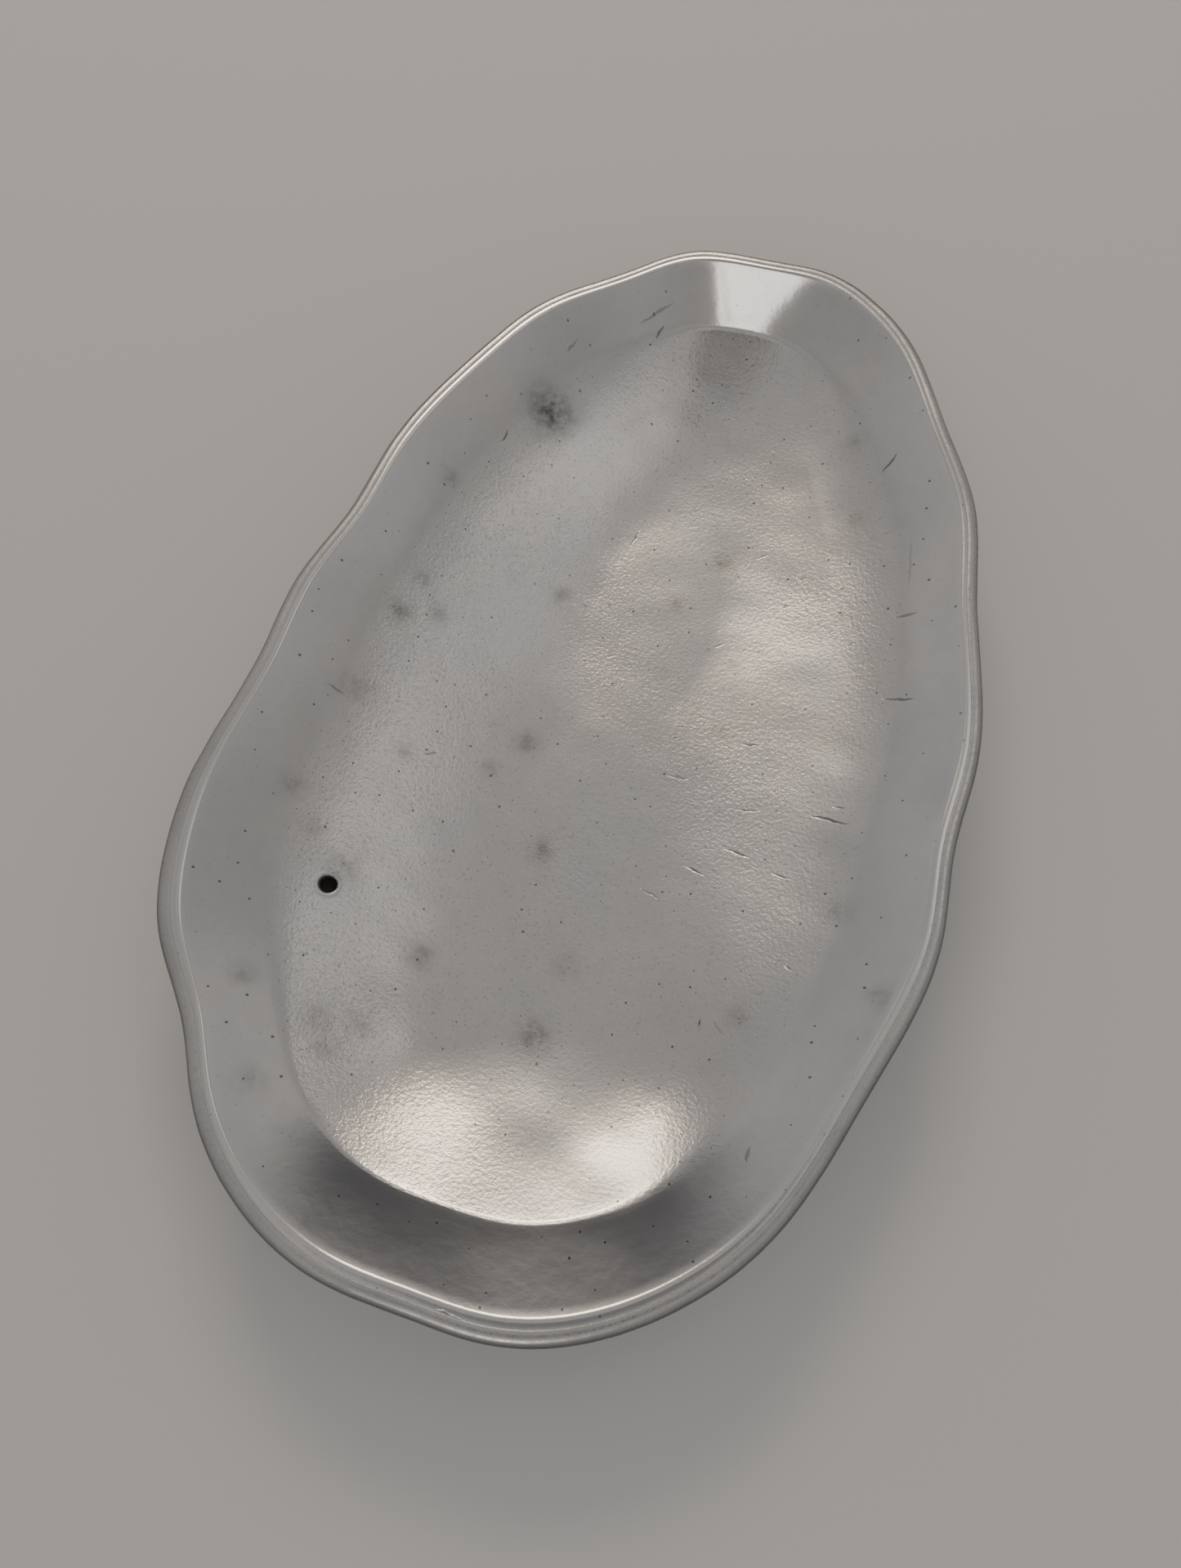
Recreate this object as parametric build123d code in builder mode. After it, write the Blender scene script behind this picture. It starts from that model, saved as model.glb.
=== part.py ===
"""Free-form oval sauce boat: a shallow metal bowl with a half-round wire soldered round its edge.

The pouring end points along +Y, and the boat rests on the XY plane. The origin is in the middle of the
outline, on the face that the boat rests on. All sizes are in millimetres.
"""

import os
from math import atan2, cos, radians, sin, tan

from build123d import *

# Outline over the wire: an oval that is full at the wide end and plain at the pouring end
oval_length = 198.0  # mean line of the waves
oval_width = 120.0
wide_end_fullness = 2.55  # 2 is an ellipse, more is squarer
pouring_end_fullness = 1.95

# Crests and hollows of the hand-shaped outline: bearing in degrees from +X, and how far they stand
# outside the oval or, when negative, inside it
waves = [
    (5, 0.0),
    (34, -2.0),
    (48, 0.0),
    (60, -0.5),
    (71, 2.5),
    (76, 3.0),
    (83, 2.5),
    (90, 0.0),
    (99, 1.0),
    (107, -1.0),
    (117, 0.5),
    (128, -0.5),
    (148, -1.5),
    (162, -3.0),
    (177, -1.0),
    (193, -1.0),
    (212, 2.5),
    (220, 3.0),
    (229, 1.5),
    (239, -3.0),
    (246, -2.0),
    (251, -1.0),
    (264, 1.0),
    (271, 1.0),
    (278, 1.5),
    (297, 1.0),
    (302, 1.0),
    (317, 0.0),
    (337, 1.5),
    (350, -0.5),
]

# Bowl
height = 20.0  # resting face to the top of the edge
wall = 2.4  # thickness of the wall and of the middle of the floor
edge_land = 1.0  # flat top of the bowl's edge, inside the wire
edge_break = 0.3  # bevel that breaks the edge's inner corner
wall_run = 9.5  # how far the wall leans in, measured level
wall_drop = 9.0  # top of the edge down to the turn
turn_radius = 3.0  # inside, where the floor turns up into the wall
floor_flat = 10.6  # width of the floor's flat middle
floor_lean = 22.3  # degrees, slope at which the floor meets the turn
base_flat = 32.5  # width of the flat underneath that the boat rests on
base_lean = 28.3  # degrees, slope at which the underside meets the turn
floor_shift = 2.0  # the floor lies this much nearer the pouring end, where the wall is steeper
wave_at_turn = 0.35  # share of the outline's waves that is left at the turn

# Wire
wire_width = 2.2  # how far it stands out from the bowl's edge
wire_height = 2.6
wire_round = 1.2  # rounding of its two outer corners

# Blow hole left in the floor
pit_inset = 24.5  # in from the oval's -X side
pit_behind = 44.0  # from the middle towards the wide end
pit_diameter = 3.0
pit_depth = 1.2

cut_clearance = 1.0  # the hollow's cutter stands this much above the edge
level_tolerance = 0.01  # for picking edges by their level

# Sizes that follow from the ones above. Insets are measured in from the outside of the wire.
edge_inset = wire_width
band_level = height - wire_height
lip_inset = edge_inset + edge_land
turn_inset = lip_inset + wall_run
turn_level = height - wall_drop
floor_level = wall
lean = wall_run / wall_drop
wall_slope = atan2(wall_drop, wall_run)
outer_turn_inset = turn_inset - wall * tan(wall_slope / 2)
outer_turn_level = turn_level - wall


def oval_radius(bearing):
    """Distance from the middle to the plain oval at a bearing."""
    fullness = pouring_end_fullness if sin(bearing) > 0 else wide_end_fullness
    across = abs(cos(bearing)) / (oval_width / 2)
    along = abs(sin(bearing)) / (oval_length / 2)
    return (across**fullness + along**fullness) ** (-1 / fullness)


def outline_points(inset):
    """Crests and hollows of the outline at an inset, where the waves have faded by their depth."""
    depth_share = min(max((inset - edge_inset) / (turn_inset - edge_inset), 0), 1)
    wave_share = 1 - (1 - wave_at_turn) * depth_share
    points = []
    for degrees_round, wave in waves:
        bearing = radians(degrees_round)
        radius = oval_radius(bearing) + wave * wave_share
        x = radius * cos(bearing) * (1 - inset / (oval_width / 2))
        y = radius * sin(bearing) * (1 - inset / (oval_length / 2))
        points.append((x, y + floor_shift * depth_share))
    return points


def closed_curve(points):
    """Smooth closed curve through the points, in the BuildLine block that is open."""
    closing = Vector(points[1]) - Vector(points[-1])
    Spline([*points, points[0]], tangents=[closing, closing])


with BuildLine() as outline:
    closed_curve(outline_points(0))
middle = outline.line.bounding_box().center()


def section(inset, level):
    """Wavy oval face at an inset and a level, with the whole outline centred on the origin."""
    with BuildSketch(Plane(origin=(-middle.X, -middle.Y, level))) as face:
        with BuildLine():
            closed_curve(outline_points(inset))
        make_face()
    return face.sketch


def floor_sections(inset, flat, lean_there, level, rise):
    """Faces of the dished floor, from its flat middle out and up to the turn, which it meets at a lean."""
    run = oval_width / 2 - inset - flat / 2
    steepening = tan(radians(lean_there)) * run / rise
    shares = (1.0, 0.75, 0.5, 0.25, 0.0)
    return [section(inset + run * share, level + rise * (1 - share) ** steepening) for share in shares]


with BuildPart() as bowl:
    # Body: dished underside, leaning wall and the upright band that the wire is soldered to
    outer_turn = section(outer_turn_inset, outer_turn_level)
    band = section(edge_inset, band_level)
    loft(sections=floor_sections(outer_turn_inset, base_flat, base_lean, 0, outer_turn_level))
    loft(sections=[outer_turn, band], ruled=True)
    extrude(band, amount=wire_height)

    # Hollow, which widens at a bevel just under the top of the edge
    turn = section(turn_inset, turn_level)
    wall_top = section(lip_inset + edge_break * lean, height - edge_break)
    mouth = section(lip_inset - edge_break - cut_clearance * (1 + lean), height + cut_clearance)
    dish = floor_sections(turn_inset, floor_flat, floor_lean, floor_level, turn_level - floor_level)
    loft(sections=dish, mode=Mode.SUBTRACT)
    loft(sections=[turn, wall_top], ruled=True, mode=Mode.SUBTRACT)
    loft(sections=[wall_top, mouth], ruled=True, mode=Mode.SUBTRACT)

    # Turns between floor and wall, inside and underneath
    for level, radius in ((turn_level, turn_radius), (outer_turn_level, turn_radius + wall)):
        turn_edges = bowl.edges().filter_by_position(Axis.Z, level - level_tolerance, level + level_tolerance)
        fillet(turn_edges, radius)

    # Blow hole, as deep below the floor's own surface where it lies
    pit_place = Vector(pit_inset - oval_width / 2, -pit_behind)
    hits = bowl.part.find_intersection_points(Axis(pit_place, (0, 0, 1)))
    surface = max(point.Z for point, _ in hits)
    with BuildSketch(Plane.XY.offset(surface - pit_depth)):
        with Locations(pit_place):
            Circle(pit_diameter / 2)
    extrude(amount=height - surface, mode=Mode.SUBTRACT)

with BuildPart() as rim_wire:
    extrude(section(0, band_level), amount=wire_height)
    fillet(rim_wire.faces().filter_by(Axis.Z).edges(), wire_round)
    extrude(section(edge_inset, band_level), amount=wire_height, mode=Mode.SUBTRACT)

bowl.part.label = "bowl"
rim_wire.part.label = "rim_wire"

os.makedirs("parts", exist_ok=True)
export_step(bowl.part, "parts/bowl.step")
export_step(rim_wire.part, "parts/rim_wire.step")
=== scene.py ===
"""Looks of the sauce boat: a hand-worked grey pewter bowl with a half-round wire round its edge.

Shapes are worked out in millimetres, in the CAD frame, and turned into metres when a mesh is made. Insets
are measured in from the outside of the wire, levels up from the face that the boat rests on, and turns
are bearings in the oval drawn out to a circle: 90 degrees is the pouring end.
"""

from math import cos, pi, radians, sin, tan

import bmesh
import bpy
import numpy as np
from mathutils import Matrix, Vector


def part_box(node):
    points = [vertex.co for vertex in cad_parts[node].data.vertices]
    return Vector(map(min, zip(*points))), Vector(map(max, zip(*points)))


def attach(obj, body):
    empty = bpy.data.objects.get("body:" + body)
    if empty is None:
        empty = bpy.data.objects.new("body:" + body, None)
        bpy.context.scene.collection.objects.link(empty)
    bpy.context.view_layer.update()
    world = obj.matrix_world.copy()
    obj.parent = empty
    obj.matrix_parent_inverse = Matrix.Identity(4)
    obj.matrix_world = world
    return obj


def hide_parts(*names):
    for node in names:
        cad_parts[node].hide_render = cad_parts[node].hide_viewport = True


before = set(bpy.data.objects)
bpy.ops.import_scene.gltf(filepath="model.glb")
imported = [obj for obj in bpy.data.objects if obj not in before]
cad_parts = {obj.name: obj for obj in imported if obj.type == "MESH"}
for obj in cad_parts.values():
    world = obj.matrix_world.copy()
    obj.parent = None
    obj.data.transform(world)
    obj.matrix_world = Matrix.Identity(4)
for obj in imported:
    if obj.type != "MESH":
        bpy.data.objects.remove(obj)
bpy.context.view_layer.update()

MM = 0.001
_, bowl_high = (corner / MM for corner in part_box("bowl"))
wire_low, wire_high = (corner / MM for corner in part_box("rim_wire"))

# The CAD part's sizes, where the frame gives them
height = bowl_high.z
wire_height = wire_high.z - wire_low.z

# The CAD part's sizes that the frame can't give
wire_width = 2.2
wall = 2.4
edge_land = 1.0
wall_run = 9.5
wall_drop = 9.0
floor_shift = 2.0
wave_at_turn = 0.35
oval = np.array([60.0, 99.0])  # half its width and half its length
wide_end_fullness = 2.55
pouring_end_fullness = 1.95
pit_place = np.array([-35.5, -44.0])
pit_diameter = 3.0
pit_depth = 1.2

# How far the floor and the underside curve up to the turn. The CAD part has the width of their flats and the
# slopes that they meet the turn at, which come to these runs, with a rise by the square of the way out.
floor_run = 42.0
base_run = 32.0

# Crests and hollows of the outline, as in the CAD part: bearing in degrees, and how far outside the oval
waves = [
    (5, 0.0),
    (34, -2.0),
    (48, 0.0),
    (60, -0.5),
    (71, 2.5),
    (76, 3.0),
    (83, 2.5),
    (90, 0.0),
    (99, 1.0),
    (107, -1.0),
    (117, 0.5),
    (128, -0.5),
    (148, -1.5),
    (162, -3.0),
    (177, -1.0),
    (193, -1.0),
    (212, 2.5),
    (220, 3.0),
    (229, 1.5),
    (239, -3.0),
    (246, -2.0),
    (251, -1.0),
    (264, 1.0),
    (271, 1.0),
    (278, 1.5),
    (297, 1.0),
    (302, 1.0),
    (317, 0.0),
    (337, 1.5),
    (350, -0.5),
]

edge_inset = wire_width
band_level = height - wire_height
lip_inset = edge_inset + edge_land
turn_inset = lip_inset + wall_run
turn_level = height - wall_drop
floor_level = wall
wall_slope = np.arctan2(wall_drop, wall_run)
outer_turn_inset = turn_inset - wall * tan(wall_slope / 2)
outer_turn_level = turn_level - wall

# Finish of the edges and turns
LIP_ROUND = 1.1  # inner corner of the bowl's edge
SEAM_ROUND = 0.05  # the two corners that face each other across the soldered seam
WIRE_ROUND_SHARE = 0.62  # share of the wire's width that its rounding takes
WIRE_FULLNESS = 0.9  # 1 is an even round, less is fuller
SHARP_TURN = 2.5  # radius of the inside turn at both ends; along the sides the wall bends into the floor

# Mesh fineness
GRID = 160  # cells along each side of the floor's grid
COLUMNS = 4 * GRID  # round the bowl
WIRE_COLUMNS = 1440
UNDER_RING = 19.0  # inset where the underside's grid begins
UNDER_ROWS = (17.5, 16, 15)  # insets of the rows between that grid and the turn
FLOOR_RING = 26.0  # inset where the floor's grid begins
WALL_ROWS, TURN_ROWS, FLOOR_ROWS = 10, 9, 10  # rows between the lip and that grid

# The only source of chance, seeded, so that each run draws the same
dice = np.random.default_rng(11)


# ---------------------------------------------------------------- outline


def closed_spline(points, per_span=200):
    """Samples of the smooth closed curve through the points."""
    following = np.roll(points, -1, axis=0)
    span = np.linalg.norm(following - points, axis=1)[:, None]
    before = np.roll(span, 1, axis=0)
    count = len(points)
    matrix = np.zeros((count, count))
    for i in range(count):
        matrix[i, i - 1] = 1 / before[i, 0]
        matrix[i, i] = 2 / before[i, 0] + 2 / span[i, 0]
        matrix[i, (i + 1) % count] = 1 / span[i, 0]
    rise = (following - points) / span**2
    tangent = np.linalg.solve(matrix, 3 * (rise + np.roll(rise, 1, axis=0)))
    t = np.linspace(0, 1, per_span, endpoint=False)[None, :, None]
    here, there = points[:, None], following[:, None]
    leave, arrive = (tangent * span)[:, None], (np.roll(tangent, -1, axis=0) * span)[:, None]
    curve = here * (2 * t**3 - 3 * t**2 + 1) + leave * (t**3 - 2 * t**2 + t)
    curve = curve + there * (3 * t**2 - 2 * t**3) + arrive * (t**3 - t**2)
    return curve.reshape(-1, 2)


def smooth(value, low, high):
    """0 below low, 1 above high, and a smooth step between them."""
    t = np.clip((np.asarray(value) - low) / (high - low), 0, 1)
    return t * t * (3 - 2 * t)


def depth_share(inset):
    """How far down the wall an inset is: 0 at the edge and 1 from the turn on."""
    return min(max((inset - edge_inset) / (turn_inset - edge_inset), 0), 1)


def outline_points(inset):
    """Crests and hollows of the outline at an inset, as in the CAD part."""
    points = []
    for degrees_round, wave in waves:
        bearing = radians(degrees_round)
        fullness = pouring_end_fullness if sin(bearing) > 0 else wide_end_fullness
        reach = np.abs([cos(bearing), sin(bearing)]) / oval
        radius = (reach**fullness).sum() ** (-1 / fullness)
        radius += wave * (1 - (1 - wave_at_turn) * depth_share(inset))
        points.append(radius * np.array([cos(bearing), sin(bearing)]) * (1 - inset / oval))
    return np.array(points)


outline = closed_spline(outline_points(0))
middle = (outline.min(0) + outline.max(0)) / 2


def centre(inset):
    """Where the oval's middle comes to lie at an inset, once the outline is centred on the origin."""
    return np.array([0, floor_shift * depth_share(inset)]) - middle


def ring(inset, turns):
    """Points of the outline at an inset, one for each turn."""
    curve = closed_spline(outline_points(inset))
    angle = np.unwrap(np.arctan2(curve[:, 1] / oval[1], curve[:, 0] / oval[0]))
    x = np.interp(turns, angle, curve[:, 0], period=2 * pi)
    y = np.interp(turns, angle, curve[:, 1], period=2 * pi)
    return np.stack([x, y], 1) + centre(inset)


# ---------------------------------------------------------------- profiles


def rounded(before, corner, after, radius, steps):
    """(inset, level) points that round a corner between two neighbouring points of a profile."""
    before, corner, after = map(np.array, (before, corner, after))
    to_before = (before - corner) / np.linalg.norm(before - corner)
    to_after = (after - corner) / np.linalg.norm(after - corner)
    half_turn = (pi - np.arccos(to_before @ to_after)) / 2
    reach = radius * tan(half_turn)
    start, end = corner + to_before * reach, corner + to_after * reach
    t = np.linspace(0, 1, steps)[:, None]
    return [tuple(p) for p in start * (1 - t) ** 2 + 2 * corner * t * (1 - t) + end * t**2]


def between(start, end, steps):
    """Points inside a straight stretch of a profile, its ends left out."""
    return [tuple(p) for p in np.linspace(start, end, steps + 2)[1:-1]]


def inner_floor(inset):
    """Level of the dished floor at an inset."""
    share = np.clip((inset - turn_inset) / floor_run, 0, 1)
    return floor_level + (turn_level - floor_level) * (1 - share) ** 2


def under_floor(inset):
    """Level of the underside at an inset."""
    share = np.clip((inset - outer_turn_inset) / base_run, 0, 1)
    return outer_turn_level * (1 - share) ** 2


def easy_bend(start, start_slope, steps):
    """Inside of the bowl where the wall bends all the way from the lip to the floor's grid."""
    before, after = np.array(start), np.array((FLOOR_RING, inner_floor(FLOOR_RING)))
    step = 0.01
    floor_slope = (inner_floor(FLOOR_RING + step) - inner_floor(FLOOR_RING)) / step
    across = (after[1] - before[1] - floor_slope * (after[0] - before[0])) / (start_slope - floor_slope)
    corner = before + across * np.array((1.0, start_slope))
    t = np.linspace(0, 1, steps + 1)[1:, None]
    return [tuple(p) for p in before * (1 - t) ** 2 + 2 * corner * t * (1 - t) + after * t**2]


def bowl_profile(crisp):
    """(inset, level) rows from the underside, over the edge and down to the floor."""
    under = [(i, under_floor(i)) for i in (UNDER_RING, *UNDER_ROWS)]
    outer_turn = (outer_turn_inset, outer_turn_level)
    band = (edge_inset, band_level)
    edge = (edge_inset, height)
    lip = (lip_inset, height)
    turn = (turn_inset, turn_level)
    rows = list(under)
    rows += rounded(under[-1], outer_turn, band, SHARP_TURN + wall, 5)
    rows += between(rows[-1], band, 5) + [band] + between(band, edge, 1)
    rows += rounded(band, edge, lip, SEAM_ROUND, 4)
    rows += rounded(edge, lip, turn, LIP_ROUND, 6)
    lip_end = len(rows)
    if crisp:
        beyond = turn_inset + 0.5
        floor_start = (beyond, inner_floor(beyond))
        turn_rows = rounded(rows[-1], turn, floor_start, SHARP_TURN, TURN_ROWS)
        rows += between(rows[-1], turn_rows[0], WALL_ROWS)
        rows += turn_rows
        rows += [(i, inner_floor(i)) for i in np.linspace(rows[-1][0], FLOOR_RING, FLOOR_ROWS + 1)[1:]]
    else:
        rows += easy_bend(rows[-1], -wall_drop / wall_run, WALL_ROWS + TURN_ROWS + FLOOR_ROWS)
    return np.array(rows), lip_end


def wire_profile():
    """Closed (inset, level) outline of the wire's section, from under the seam round to its top."""
    half = wire_height / 2
    body = wire_width * WIRE_ROUND_SHARE
    arc = np.linspace(pi, 0, 19)
    rows = [(wire_width, band_level + 0.25), (wire_width - 0.2, band_level + 0.03)]
    rows += [(body * (1 - sin(a) ** WIRE_FULLNESS), height - half + half * cos(a)) for a in arc]
    rows += [(wire_width - 0.06, height - 0.005), (wire_width - 0.02, height - 0.03)]
    rows += [(wire_width, height - 0.08)]
    return np.array(rows)


# ---------------------------------------------------------------- meshes


def grid_faces(rows, columns, closed_rows=False):
    """Quads between rings of points. The last ring meets the first one when the rows close too."""
    last = rows if closed_rows else rows - 1
    faces = []
    for r in range(last):
        here, there = r * columns, ((r + 1) % rows) * columns
        for c in range(columns):
            d = (c + 1) % columns
            faces.append((here + c, here + d, there + d, there + c))
    return faces


def disc_places():
    """Turn and reach of each point of a square grid drawn out into a disc, and its rim in order."""
    steps = np.linspace(-1, 1, GRID + 1)
    n = GRID
    rim = [(n, j) for j in range(n)] + [(n - i, n) for i in range(n)]
    rim += [(0, n - j) for j in range(n)] + [(i, 0) for i in range(n)]
    u, v = np.meshgrid(steps, steps, indexing="ij")
    x, y = u * np.sqrt(1 - v**2 / 2), v * np.sqrt(1 - u**2 / 2)
    return np.arctan2(y, x), np.hypot(x, y), rim


disc_turns, disc_reach, disc_rim = disc_places()
column_turns = np.array([disc_turns[place] for place in disc_rim])


def disc(row_inset, floor_shape):
    """Points inside a ring of the floor, as a grid, with the inset of each."""
    edge_points = ring(row_inset, disc_turns.ravel()).reshape(*disc_turns.shape, 2)
    xy = centre(row_inset) + (edge_points - centre(row_inset)) * disc_reach[..., None]
    facing = np.cos(disc_turns) ** 2
    closing = facing / oval[0] + (1 - facing) / oval[1]
    inset = (1 - disc_reach * (1 - row_inset * closing)) / closing
    return np.dstack([xy, floor_shape(inset)]), inset


def stitch_disc(start, first_rim, flip):
    """Faces of a disc whose rim points exist already and whose inner points begin at an index."""
    index = np.full((GRID + 1, GRID + 1), -1)
    for place, (i, j) in enumerate(disc_rim):
        index[i, j] = first_rim + place
    inner = index < 0
    index[inner] = start + np.arange(inner.sum())
    faces = []
    for i in range(GRID):
        for j in range(GRID):
            quad = (index[i, j], index[i + 1, j], index[i + 1, j + 1], index[i, j + 1])
            faces.append(quad[::-1] if flip else quad)
    return faces, inner


def make_mesh(name, points, faces):
    """Smooth mesh in metres from points in millimetres."""
    mesh = bpy.data.meshes.new(name)
    mesh.from_pydata((points * MM).tolist(), [], [tuple(int(i) for i in f) for f in faces])
    mesh.validate()
    mesh.shade_smooth()
    return mesh


def make_object(name, mesh, material):
    """Object that rides on the boat's one body and fills a material slot."""
    piece = bpy.data.objects.new(name, mesh)
    bpy.context.scene.collection.objects.link(piece)
    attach(piece, "root")
    piece.data.materials.append(material)
    return piece


def locations(mesh):
    """Where the vertices are, in millimetres."""
    flat = np.empty(len(mesh.vertices) * 3)
    mesh.vertices.foreach_get("co", flat)
    return flat.reshape(-1, 3) / MM


def normals(mesh):
    """Which way the vertices face."""
    flat = np.empty(len(mesh.vertices) * 3)
    mesh.vertices.foreach_get("normal", flat)
    return flat.reshape(-1, 3)


def move(mesh, points):
    """Puts the vertices at points in millimetres."""
    mesh.vertices.foreach_set("co", (points * MM).ravel())
    mesh.update()


def give(mesh, name, values):
    """Values from 0 to 1, one for each vertex, for the materials to read."""
    layer = mesh.attributes.new(name, "FLOAT", "POINT")
    layer.data.foreach_set("value", np.clip(values, 0, 1).astype(np.float32))


def wave_field(xy, shortest, longest, count=14):
    """Gentle waves in random directions, added up to about 1 at their highest."""
    total = np.zeros(len(xy))
    for _ in range(count):
        heading = dice.uniform(0, 2 * pi)
        length = dice.uniform(shortest, longest)
        phase = dice.uniform(0, 2 * pi)
        total += np.sin(2 * pi * (xy @ [cos(heading), sin(heading)]) / length + phase)
    return total / (1.6 * count**0.5)


def bell(xy, place, radius):
    """1 at a place, and less and less round it."""
    return np.exp(-((xy - place) ** 2).sum(-1) / radius**2)


# Dents and swellings of the hand-worked floor: x, y, radius and rise
dents = [
    (-3, 18, 38, -0.6),
    (-13, -66, 12, -1.6),
    (27, -57, 12, -1.7),
    (9, -67, 7, 0.4),
    (21, -73, 5, 0.2),
]

LONG_WAVES, SHORT_WAVES = 0.13, 0.03  # height of the metal's unevenness
PIT_EDGE = 0.07  # how far the metal stands up round the blow hole

# Patches where the cast grain is rougher: x, y, radius and how much
grain_patches = [
    (-38, 12, 17, 0.55),
    (-30, 22, 14, 0.3),
    (14, 2, 16, 0.25),
    (-30, -66, 14, 0.35),
]

# Tarnish spots: x, y, radius and darkness
stains = [
    (-32, 57.5, 3.4, 0.95),
    (-29.5, 58.5, 2.4, 0.6),
    (8.5, 40.5, 1.7, 0.75),
    (2.5, 29, 1.6, 0.65),
    (-18, 23.5, 1.5, 0.55),
    (16.5, 19, 1.6, 0.5),
    (4.5, 14.5, 1.3, 0.3),
    (18, 5.5, 1.5, 0.5),
    (-14, -7, 1.8, 0.6),
    (-5, -25.5, 1.9, 0.6),
    (-17.5, -49.5, 2.0, 0.5),
    (4.5, -56, 2.6, 0.7),
    (5.5, -43.5, 2.2, 0.25),
    (-28, -65, 2.4, 0.35),
    (-25, -68.5, 1.8, 0.4),
    (-22, -63, 2.2, 0.3),
    (30, 53.5, 1.4, 0.5),
    (27.5, 48, 1.2, 0.35),
    (45, -23, 1.7, 0.4),
    (53.5, -36.5, 1.6, 0.4),
    (34.5, -43.5, 1.6, 0.4),
    (-43, 7, 1.8, 0.5),
    (-37, 10, 1.6, 0.4),
    (-41.5, 15, 1.5, 0.35),
    (-44, 35.5, 1.5, 0.35),
    (-44, -10, 2.4, 0.35),
    (-40, -63, 1.6, 0.35),
    (-32, -77.5, 1.8, 0.3),
    (8.5, -88, 2.2, 0.35),
    (-14.5, -92.5, 1.6, 0.35),
    (25.5, 69, 1.6, 0.35),
    (-46.5, -31, 1.8, 0.35),
    (-41, -36, 1.8, 0.3),
    (-18.5, -14, 1.4, 0.4),
    (-33, -17, 1.2, 0.35),
    (37, 21, 2.6, 0.18),
    (37.5, 8, 2.4, 0.2),
    (11.5, 10, 1.6, 0.2),
    (-34.5, -40.5, 2.6, 0.45),
]


def build_bowl(material):
    """Rings from the underside over the edge to the floor, and a grid to fill each side's middle."""
    sharp, lip_end = bowl_profile(True)
    soft, _ = bowl_profile(False)
    away = np.sin(column_turns)
    # The inside turn is crisp at both ends and easy along the sides
    softness = 1 - np.maximum(smooth(-away, 0.5, 0.95), 0.9 * smooth(away, 0.78, 0.995))
    points, insets, sides = [], [], []
    for number, (crisp, easy) in enumerate(zip(sharp, soft)):
        flat = ring(crisp[0], column_turns)
        if not np.allclose(crisp, easy):
            flat = flat * (1 - softness[:, None]) + ring(easy[0], column_turns) * softness[:, None]
        level = crisp[1] * (1 - softness) + easy[1] * softness
        points.append(np.column_stack([flat, level]))
        insets.append(crisp[0] * (1 - softness) + easy[0] * softness)
        sides.append(np.full(COLUMNS, float(number >= lip_end)))
    faces = grid_faces(len(sharp), COLUMNS)
    start = len(sharp) * COLUMNS
    last_ring = start - COLUMNS
    discs = ((FLOOR_RING, inner_floor, last_ring, True), (UNDER_RING, under_floor, 0, False))
    for row_inset, floor_shape, first_rim, inside in discs:
        cells, cell_insets = disc(row_inset, floor_shape)
        more, inner = stitch_disc(start, first_rim, not inside)
        faces += more
        points.append(cells[inner])
        insets.append(cell_insets[inner])
        sides.append(np.full(int(inner.sum()), float(inside)))
        start += int(inner.sum())
    mesh = make_mesh("pewter_bowl", np.concatenate(points), faces)
    insets, sides = np.concatenate(insets), np.concatenate(sides)
    give(mesh, "inside", sides)
    give(mesh, "floor", sides * smooth(insets, turn_inset - 1.5, turn_inset + 2.5))
    give(mesh, "rub", smooth(insets, lip_inset + 1.2, lip_inset - 0.2))
    give(mesh, "held", smooth(insets, lip_inset + 9, lip_inset + 0.5))
    refine_pit(mesh)
    shape_bowl(mesh)
    return make_object("pewter_bowl", mesh, material)


def refine_pit(mesh):
    """Finer cells where the blow hole is."""
    work = bmesh.new()
    work.from_mesh(mesh)
    near = []
    for face in work.faces:
        spot = face.calc_center_median() / MM
        if face.normal.z > 0.5 and (Vector(pit_place) - spot.xy).length < pit_diameter * 0.95:
            near.append(face)
    edges = list({edge for face in near for edge in face.edges})
    bmesh.ops.subdivide_edges(work, edges=edges, cuts=6, use_grid_fill=True)
    work.to_mesh(mesh)
    work.free()
    mesh.shade_smooth()


def shape_bowl(mesh):
    """Hand-worked unevenness, the blow hole, and how stained and how grainy each spot is."""
    points, facing = locations(mesh), normals(mesh)
    xy = points[:, :2]
    inside = np.empty(len(points), np.float32)
    held = np.empty(len(points), np.float32)
    mesh.attributes["inside"].data.foreach_get("value", inside)
    mesh.attributes["held"].data.foreach_get("value", held)
    inner = inside * (1 - held)
    outer = (1 - inside) * smooth(points[:, 2], 0.2, 1.6)
    outer *= smooth(points[:, 2], band_level - 0.3, band_level - 2.5)
    rise = (inner + outer) * (LONG_WAVES * wave_field(xy, 24, 46) + SHORT_WAVES * wave_field(xy, 8, 13))
    for x, y, radius, tall in dents:
        rise += inner * tall * bell(xy, (x, y), radius)
    points = points + facing * rise[:, None]
    reach = np.linalg.norm(xy - pit_place, axis=1)
    radius = pit_diameter / 2
    hole = inside * (facing[:, 2] > 0.5)
    points[:, 2] -= hole * pit_depth * (1 - smooth(reach, radius - 0.45, radius + 0.05))
    points[:, 2] += hole * PIT_EDGE * np.exp(-(((reach - radius - 0.35) / 0.3) ** 2))
    move(mesh, points)
    dark = np.zeros(len(points))
    for x, y, radius, depth in stains:
        dark = np.maximum(dark, depth * bell(xy, (x, y), radius * 1.15))
    give(mesh, "stain", dark * inside)
    grain = 0.42 + 0.25 * wave_field(xy, 30, 60)
    for x, y, radius, more in grain_patches:
        grain += more * bell(xy, (x, y), radius)
    give(mesh, "grain", grain)


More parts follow.
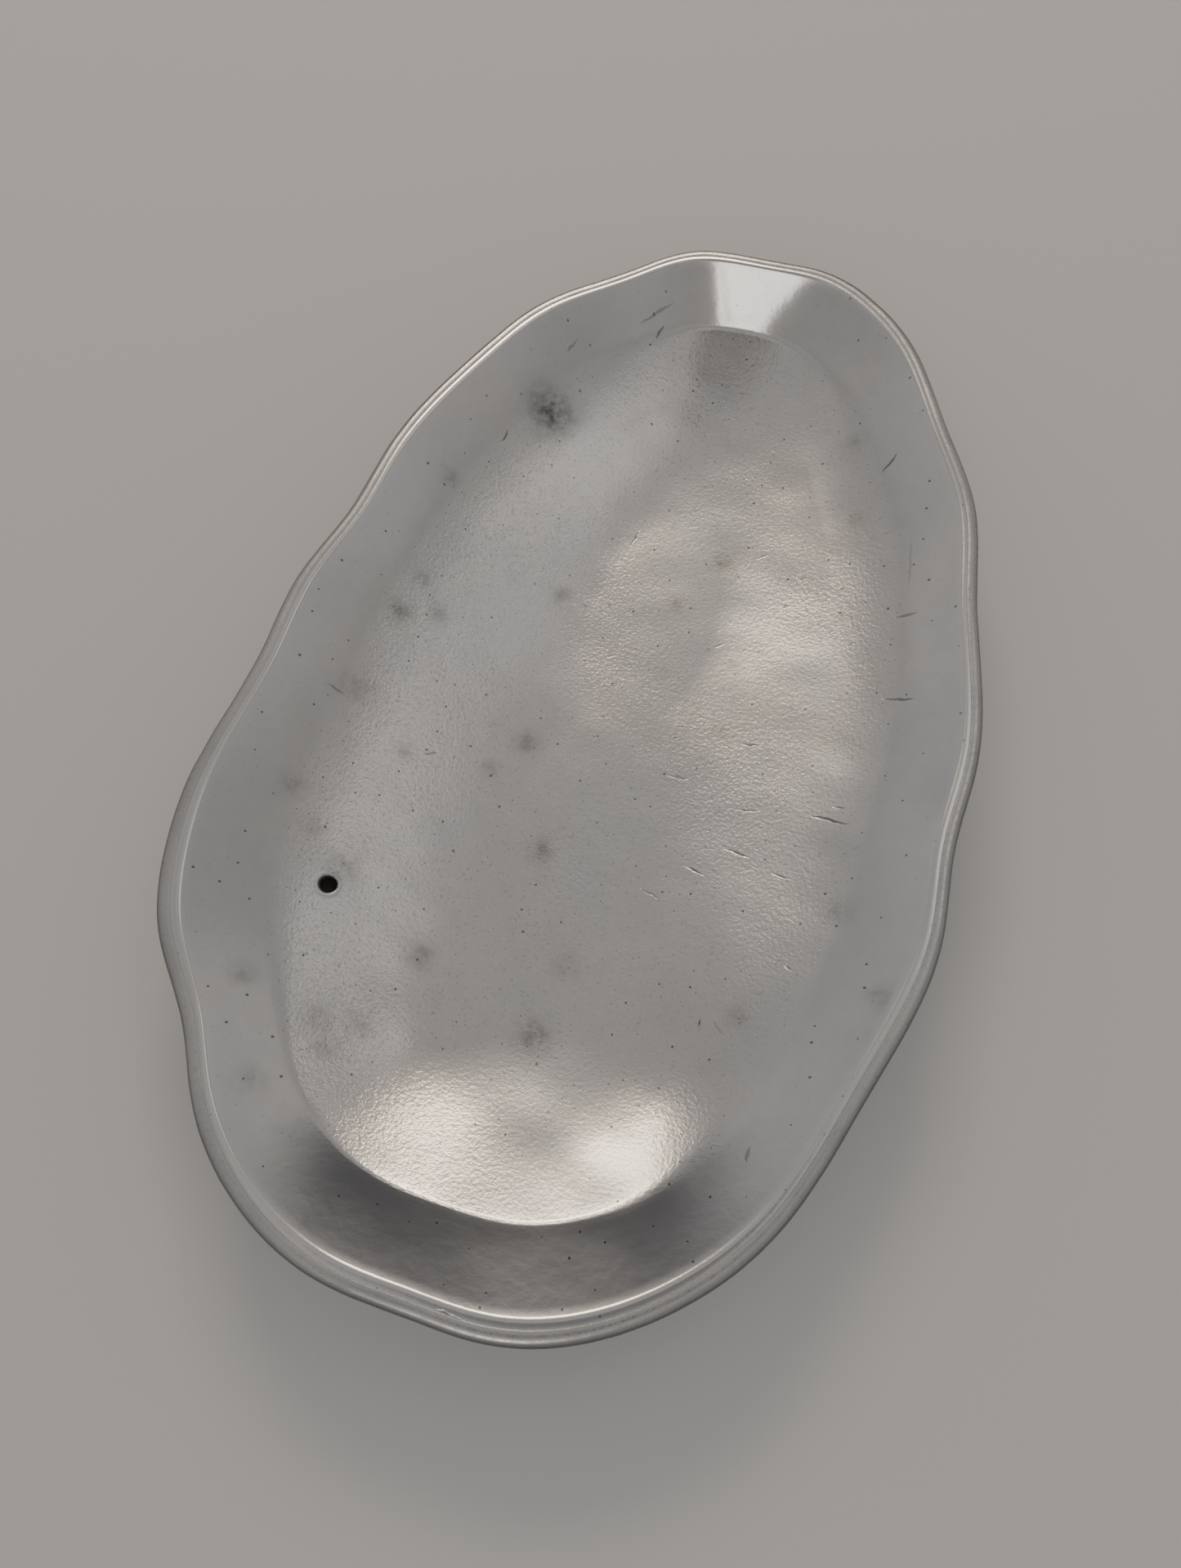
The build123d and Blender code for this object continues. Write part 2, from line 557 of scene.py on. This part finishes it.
def build_wire(material):
    """The half-round wire, slightly uneven where it is free of the seam."""
    profile = wire_profile()
    turns = np.linspace(0, 2 * pi, WIRE_COLUMNS, endpoint=False)
    points = [np.column_stack([ring(inset, turns), np.full(WIRE_COLUMNS, level)]) for inset, level in profile]
    faces = grid_faces(len(profile), WIRE_COLUMNS, closed_rows=True)
    mesh = make_mesh("rim_wire_half_round", np.concatenate(points), faces)
    spots, facing = locations(mesh), normals(mesh)
    free = smooth(np.repeat(profile[:, 0], WIRE_COLUMNS), wire_width - 0.1, wire_width - 0.5)
    rise = free * (0.03 * wave_field(spots[:, :2], 6, 12) + 0.006 * wave_field(spots[:, :2], 2.5, 4))
    move(mesh, spots + facing * rise[:, None])
    # Where the wire's colour takes painted shade: its outer side and its lower part
    outer = smooth(np.repeat(profile[:, 0], WIRE_COLUMNS), wire_width * 0.5, 0.1)
    give(mesh, "outer", np.maximum(outer, smooth(spots[:, 2], height - 1.2, height - 2.2)))
    return make_object("rim_wire_half_round", mesh, material)


# ---------------------------------------------------------------- materials


def put(tree, kind, inputs=(), **settings):
    """A shader node with some inputs set or linked."""
    made = tree.nodes.new("ShaderNode" + kind)
    for name, value in settings.items():
        setattr(made, name, value)
    for name, value in dict(inputs).items():
        if isinstance(value, bpy.types.NodeSocket):
            tree.links.new(value, made.inputs[name])
        else:
            made.inputs[name].default_value = value
    return made


def calc(tree, operation, *values):
    """Result of a Math node."""
    return put(tree, "Math", dict(enumerate(values)), operation=operation).outputs[0]


def blend(tree, share, first, second):
    """First colour, with a share of the second mixed in."""
    inputs = {0: share, 6: first, 7: second}
    return put(tree, "Mix", inputs, data_type="RGBA").outputs[2]


def fit(tree, value, low, high, to_low=0.0, to_high=1.0):
    """Value carried from one range to another in a smooth step."""
    inputs = {0: value, 1: low, 2: high, 3: to_low, 4: to_high}
    return put(tree, "MapRange", inputs, interpolation_type="SMOOTHSTEP").outputs[0]


def attribute(tree, name):
    """Value that the mesh has for each vertex."""
    return put(tree, "Attribute", attribute_name=name).outputs["Fac"]


def noise(tree, where, size, detail, roughness=0.5):
    """Noise whose blobs are about so many millimetres across."""
    inputs = {"Vector": where, "Scale": 1 / (size * MM), "Detail": detail, "Roughness": roughness}
    return put(tree, "TexNoise", inputs).outputs[0]


def pinholes(tree, flat, spacing, radius, chosen):
    """Round dots, in a share of the cells of an uneven grid."""
    cells = put(tree, "TexVoronoi", {"Vector": flat, "Scale": 1 / (spacing * MM)}, voronoi_dimensions="2D")
    pick = put(tree, "SeparateColor", {0: cells.outputs["Color"]})
    size = calc(tree, "MULTIPLY_ADD", pick.outputs[1], radius / spacing, radius / spacing * 0.6)
    dot = calc(tree, "LESS_THAN", cells.outputs["Distance"], size)
    return calc(tree, "MULTIPLY", dot, calc(tree, "LESS_THAN", pick.outputs[0], chosen))


# Scratches: x, y, length, heading in degrees from +X, and depth
scratches = [
    (40, -7, 7.8, -5, 1.0),
    (41, -4.5, 2.6, 4, 0.7),
    (27, -16, 5.2, -8, 0.9),
    (21, -21, 4.3, -15, 0.9),
    (35, -18.5, 3.8, -5, 0.8),
    (24, 4.5, 4.2, 10, 0.8),
    (26.5, -8, 5.2, 7, 0.7),
    (13.5, -5, 4.8, 4, 0.5),
    (15, -27, 4.8, -13, 0.5),
    (45.5, 17, 5.4, -1, 0.8),
    (43, 33.5, 4.5, 13, 0.6),
    (15.5, 43.5, 2.9, 41, 0.4),
    (13, 23, 2.4, 35, 0.4),
    (24, 40, 2.3, 29, 0.4),
    (32, -46, 3.6, -44, 0.3),
    (40, -34, 2.0, -30, 0.5),
    (-17.5, 82, 3.6, 70, 0.8),
    (-19, 84, 9.9, 51, 0.5),
    (-32, 70.5, 4.7, 67, 0.5),
    (-38, 48.5, 3.8, 85, 0.9),
    (-47, -12, 3.6, 0, 0.6),
    (41.5, 44, 12.6, -79, 0.25),
    (-9, 40.5, 5.3, 81, 0.6),
    (41, -64, 3.1, 90, 0.5),
    (33, 64, 4.5, 62, 0.9),
    (-29, -15.5, 2.6, 30, 0.6),
    (-36, -82, 5.6, -52, 1.0),
    (8, -97.4, 4.0, -6, 0.8),
]


CROOK = 0.7  # how far a scratch strays from straight
SCRATCH_HALF_WIDTH = 0.32


def scratch_group():
    """Mask of one straight scratch, thin at its ends."""
    tree = bpy.data.node_groups.new("scratch", "ShaderNodeTree")
    tree.interface.new_socket("Where", in_out="INPUT", socket_type="NodeSocketVector")
    for name in ("X", "Y", "Heading", "Half length", "Depth"):
        tree.interface.new_socket(name, in_out="INPUT", socket_type="NodeSocketFloat")
    tree.interface.new_socket("Mask", in_out="OUTPUT", socket_type="NodeSocketFloat")
    given = tree.nodes.new("NodeGroupInput").outputs
    place = put(tree, "CombineXYZ", {0: given["X"], 1: given["Y"]}).outputs[0]
    away = put(tree, "VectorMath", {0: given["Where"], 1: place}, operation="SUBTRACT").outputs[0]
    turned = put(tree, "VectorRotate", {"Vector": away, "Angle": given["Heading"]}, rotation_type="Z_AXIS")
    parts = put(tree, "SeparateXYZ", {0: turned.outputs[0]}).outputs
    along = calc(tree, "DIVIDE", parts[0], given["Half length"])
    along = calc(tree, "SUBTRACT", 1.0, calc(tree, "MULTIPLY", along, along))
    width = calc(tree, "MULTIPLY", calc(tree, "MAXIMUM", along, 0.0), SCRATCH_HALF_WIDTH)
    across = calc(tree, "SUBTRACT", width, calc(tree, "ABSOLUTE", parts[1]))
    mask = calc(tree, "MULTIPLY", fit(tree, across, 0.0, 0.22), given["Depth"])
    result = tree.nodes.new("NodeGroupOutput")
    tree.links.new(mask, result.inputs["Mask"])
    return tree


def scratch_mask(tree, flat):
    """All the scratches, in millimetres from the middle, slightly crooked."""
    group = scratch_group()
    where = put(tree, "VectorMath", {0: flat, 1: (1 / MM, 1 / MM, 0)}, operation="MULTIPLY").outputs[0]
    crook = put(tree, "TexNoise", {"Vector": where, "Scale": 0.7, "Detail": 1.0}).outputs["Color"]
    shift = {0: crook, 1: (CROOK, CROOK, 0), 2: where}
    where = put(tree, "VectorMath", shift, operation="MULTIPLY_ADD").outputs[0]
    total = 0.0
    for x, y, length, heading, depth in scratches:
        one = tree.nodes.new("ShaderNodeGroup")
        one.node_tree = group
        tree.links.new(where, one.inputs["Where"])
        one.inputs["X"].default_value = x + CROOK / 2
        one.inputs["Y"].default_value = y + CROOK / 2
        one.inputs["Heading"].default_value = -radians(heading)
        one.inputs["Half length"].default_value = length / 2
        one.inputs["Depth"].default_value = depth
        total = calc(tree, "MAXIMUM", total, one.outputs[0])
    return total


def start_material(name):
    """Metal whose colour, roughness and relief come later, and the place in its object's own space."""
    material = bpy.data.materials.new(name)
    material.use_nodes = True
    tree = material.node_tree
    shader = tree.nodes["Principled BSDF"]
    shader.inputs["Metallic"].default_value = 1.0
    return material, tree, shader, put(tree, "TexCoord").outputs["Object"]


def finish_material(tree, shader, colour, roughness, relief):
    """Links a metal's looks to its shader. Relief is in millimetres."""
    tree.links.new(colour, shader.inputs["Base Color"])
    tree.links.new(roughness, shader.inputs["Roughness"])
    bump = put(tree, "Bump", {"Height": relief, "Distance": MM, "Strength": 1.0})
    tree.links.new(bump.outputs[0], shader.inputs["Normal"])


WARM_PEWTER = (0.60, 0.575, 0.555, 1)
COOL_PEWTER = (0.565, 0.56, 0.56, 1)
MOTTLING = (0.44, 0.43, 0.42, 1)
GRAIN_DIRT = (0.22, 0.21, 0.205, 1)
TARNISH = (0.13, 0.13, 0.13, 1)
SCRATCH_DIRT = (0.10, 0.095, 0.09, 1)
PINHOLE_DIRT = (0.08, 0.075, 0.075, 1)
PIT_DIRT = (0.045, 0.042, 0.040, 1)
RUBBED_PEWTER = (0.74, 0.72, 0.70, 1)
LIGHT_WIRE = (0.52, 0.505, 0.495, 1)
DARK_WIRE = (0.46, 0.45, 0.445, 1)
WIRE_SPECKLES = (0.30, 0.29, 0.285, 1)
# Colour of the painted shade on the wire's outer side and lower part
PAINTED_WIRE_SHADE = (0.13, 0.13, 0.132, 1)

# Fine relief of the bowl's metal. The grain is low on the wall and higher by so much on the floor.
WALL_GRAIN = 0.014
FLOOR_GRAIN = 0.10
PEEL = 0.016
SCRATCH_DEPTH = 0.05
PINHOLE_DEPTH = 0.06

# Roughness of the bowl's metal, and what tarnish adds to it
WALL_ROUGHNESS = 0.13
FLOOR_ROUGHNESS = 0.25
TARNISH_ROUGHNESS = 0.12


def bowl_material():
    """Satin grey metal with a cast grain, tarnish, scratches, pinholes and a dark blow hole."""
    material, tree, shader, where = start_material("satin_pewter")
    flat = put(tree, "VectorMath", {0: where, 1: (1, 1, 0)}, operation="MULTIPLY").outputs[0]
    floor, inside, stain = (attribute(tree, name) for name in ("floor", "inside", "stain"))
    rub, rough_grain = attribute(tree, "rub"), attribute(tree, "grain")
    clouds = noise(tree, where, 30, 3)
    mottle = noise(tree, where, 3.2, 3, 0.6)
    peel = noise(tree, where, 2.2, 1)
    grain = noise(tree, where, 0.6, 2, 0.65)
    blot = calc(tree, "MULTIPLY", stain, fit(tree, noise(tree, where, 1.6, 3, 0.65), 0.25, 0.7, 0.45, 1.25))
    scratch = scratch_mask(tree, flat)
    holes = pinholes(tree, flat, 5.0, 0.14, 0.5)
    specks = pinholes(tree, flat, 1.8, 0.085, 0.4)
    specks = calc(tree, "MULTIPLY", specks, fit(tree, floor, 0.0, 1.0, 0.35, 1.0))
    pit_ends = {0: flat, 1: (*(pit_place * MM), 0)}
    pit_away = put(tree, "VectorMath", pit_ends, operation="DISTANCE").outputs["Value"]
    pit = calc(tree, "MULTIPLY", fit(tree, pit_away, 1.75 * MM, 1.2 * MM), inside)

    colour = blend(tree, fit(tree, clouds, 0.35, 0.65), WARM_PEWTER, COOL_PEWTER)
    colour = blend(tree, fit(tree, mottle, 0.3, 0.75, 0.0, 0.16), colour, MOTTLING)
    dirt = calc(tree, "MULTIPLY", fit(tree, grain, 0.42, 0.3), calc(tree, "MULTIPLY_ADD", floor, 0.22, 0.03))
    colour = blend(tree, dirt, colour, GRAIN_DIRT)
    colour = blend(tree, calc(tree, "MULTIPLY", blot, 0.9), colour, TARNISH)
    colour = blend(tree, calc(tree, "MULTIPLY", scratch, 0.8), colour, SCRATCH_DIRT)
    dots = calc(tree, "MAXIMUM", holes, calc(tree, "MULTIPLY", specks, 0.6))
    colour = blend(tree, calc(tree, "MULTIPLY", dots, 0.75), colour, PINHOLE_DIRT)
    colour = blend(tree, pit, colour, PIT_DIRT)
    colour = blend(tree, calc(tree, "MULTIPLY", rub, 0.35), colour, RUBBED_PEWTER)

    roughness = fit(tree, floor, 0.0, 1.0, WALL_ROUGHNESS, FLOOR_ROUGHNESS)
    roughness = calc(tree, "MULTIPLY_ADD", fit(tree, clouds, 0.3, 0.7), 0.03, roughness)
    roughness = calc(tree, "MULTIPLY_ADD", blot, TARNISH_ROUGHNESS, roughness)
    roughness = calc(tree, "MULTIPLY_ADD", pit, 0.5, roughness)
    roughness = calc(tree, "MULTIPLY_ADD", rub, 0.07, roughness)

    grain_rise = calc(tree, "MULTIPLY_ADD", floor, FLOOR_GRAIN, WALL_GRAIN)
    grain_rise = calc(tree, "MULTIPLY", grain_rise, rough_grain)
    relief = calc(tree, "MULTIPLY", calc(tree, "SUBTRACT", grain, 0.5), grain_rise)
    relief = calc(tree, "MULTIPLY_ADD", peel, PEEL, relief)
    relief = calc(tree, "MULTIPLY_ADD", scratch, -SCRATCH_DEPTH, relief)
    relief = calc(tree, "MULTIPLY_ADD", dots, -PINHOLE_DEPTH, relief)
    finish_material(tree, shader, colour, roughness, relief)
    return material


def wire_material():
    """Speckled grey metal, with painted shade on its outer side and its lower part."""
    material, tree, shader, where = start_material("rubbed_pewter_wire")
    clouds = noise(tree, where, 14, 3)
    speckle = noise(tree, where, 0.8, 2, 0.6)
    colour = blend(tree, fit(tree, clouds, 0.35, 0.65), LIGHT_WIRE, DARK_WIRE)
    colour = blend(tree, fit(tree, speckle, 0.5, 0.75, 0.0, 0.4), colour, WIRE_SPECKLES)
    # Painted shade: the wire's outer side and lower part are darkened in its colour
    colour = blend(tree, calc(tree, "MULTIPLY", attribute(tree, "outer"), 0.85), colour, PAINTED_WIRE_SHADE)
    roughness = fit(tree, speckle, 0.3, 0.7, 0.24, 0.34)
    relief = calc(tree, "MULTIPLY", speckle, 0.008)
    relief = calc(tree, "MULTIPLY_ADD", noise(tree, where, 2.6, 1), 0.012, relief)
    finish_material(tree, shader, colour, roughness, relief)
    return material


bowl = build_bowl(bowl_material())
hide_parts("bowl")
wire = build_wire(wire_material())
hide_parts("rim_wire")


# ---------------------------------------------------------------- stage, lights and camera


PANEL_AWAY = 1.2

# Soft lights: name, elevation and azimuth in degrees, width and height in metres, glow and colour
panels = [
    ("panel_ahead", 39, -23, 0.56, 0.27, 8.5, (1.0, 0.83, 0.64)),
    ("panel_right", 60, 34, 0.32, 0.3, 0.7, (1.0, 0.97, 0.93)),
    ("window_wide", 48, 178, 0.24, 0.5, 2.2, (1.0, 0.95, 0.90)),
    ("window_narrow", 48, 166.5, 0.055, 0.5, 2.8, (1.0, 0.95, 0.90)),
]


def add_panel(name, toward, width, tall, glow, colour):
    """Rectangular soft light in a direction, facing the boat. The glow is how bright its face is."""
    lamp = bpy.data.lights.new(name, "AREA")
    lamp.shape = "RECTANGLE"
    lamp.size, lamp.size_y = width, tall
    lamp.energy = glow * width * tall * pi
    lamp.color = colour
    panel = bpy.data.objects.new(name, lamp)
    direction = Vector(toward).normalized()
    panel.location = direction * PANEL_AWAY
    panel.rotation_euler = direction.to_track_quat("Z", "Y").to_euler()
    bpy.context.scene.collection.objects.link(panel)


def sky(elevation, azimuth):
    """Direction at an elevation, and an azimuth in degrees from +Y towards +X."""
    e, a = radians(elevation), radians(azimuth)
    return (sin(a) * cos(e), cos(a) * cos(e), sin(e))


# Grey of the room by the sine of the elevation: dark straight above, where someone leans over the boat
room = [
    (0.0, 0.50),
    (0.3, 0.50),
    (0.6, 0.40),
    (0.74, 0.37),
    (0.80, 0.43),
    (0.87, 0.44),
    (0.915, 0.35),
    (0.945, 0.36),
    (0.962, 0.66),
    (0.974, 0.66),
    (0.988, 0.15),
]
DARK_END = (-0.3, 0.954, 0)  # direction of the room's dark end, which the wide end's wall mirrors
DARK_GREY = (0.11, 0.11, 0.115, 1)
TABLE_HALF = 1.6  # metres from its middle to its side
TABLE_GAP = 0.05


def build_world():
    """Room that the metal mirrors: bands of grey by elevation, and a low dark end."""
    world = bpy.data.worlds.new("studio")
    world.use_nodes = True
    tree = world.node_tree
    coords = put(tree, "TexCoord").outputs["Generated"]
    parts = put(tree, "SeparateXYZ", {0: coords}).outputs
    ramp = put(tree, "ValToRGB", {0: parts[2]})
    stops = ramp.color_ramp.elements
    stops.remove(stops[1])
    for place, grey in room:
        stop = stops.new(place)
        stop.color = (grey, grey * 0.98, grey * 0.965, 1)
    stops.remove(stops[0])
    ahead = put(tree, "VectorMath", {0: coords, 1: DARK_END}, operation="DOT_PRODUCT").outputs["Value"]
    dark = calc(tree, "MULTIPLY", fit(tree, parts[2], 0.5, 0.25), fit(tree, ahead, 0.68, 0.92))
    colour = blend(tree, dark, ramp.outputs[0], DARK_GREY)
    tree.links.new(colour, tree.nodes["Background"].inputs["Color"])
    bpy.context.scene.world = world


def build_stage():
    """Pale table, a hair under the resting face, so that the two never share a level."""
    mesh = bpy.data.meshes.new("table")
    far, low = TABLE_HALF, -TABLE_GAP * MM
    corners = [(-far, -far, low), (far, -far, low), (far, far, low), (-far, far, low)]
    mesh.from_pydata(corners, [], [(0, 1, 2, 3)])
    table = bpy.data.objects.new("table", mesh)
    bpy.context.scene.collection.objects.link(table)
    material = bpy.data.materials.new("table_paint")
    material.use_nodes = True
    shader = material.node_tree.nodes["Principled BSDF"]
    shader.inputs["Base Color"].default_value = (0.62, 0.61, 0.60, 1)
    shader.inputs["Roughness"].default_value = 0.85
    mesh.materials.append(material)


CAMERA_TILT = 22.5  # degrees from straight down
CAMERA_AZIMUTH = 18.5  # degrees that it leans to the -X side of the boat's length
CAMERA_PLACE = (24.3, -86.3, 173.9)  # from the middle of the boat, at the level of its edge
CAMERA_LENS = 27.05


def build_camera():
    """Looks down from above the wide end, leaning towards the pouring end."""
    data = bpy.data.cameras.new("camera")
    data.sensor_width = 36.0
    data.lens = CAMERA_LENS
    data.clip_start = 0.01
    camera = bpy.data.objects.new("camera", data)
    tilt, azimuth = radians(CAMERA_TILT), radians(CAMERA_AZIMUTH)
    forward = Vector((-sin(azimuth) * sin(tilt), cos(azimuth) * sin(tilt), -cos(tilt)))
    x, y, above_edge = CAMERA_PLACE
    camera.location = (x * MM, y * MM, (height + above_edge) * MM)
    camera.rotation_euler = forward.to_track_quat("-Z", "Y").to_euler()
    bpy.context.scene.collection.objects.link(camera)
    bpy.context.scene.camera = camera


build_world()
build_stage()
for name, elevation, azimuth, width, tall, glow, colour in panels:
    add_panel(name, sky(elevation, azimuth), width, tall, glow, colour)
build_camera()
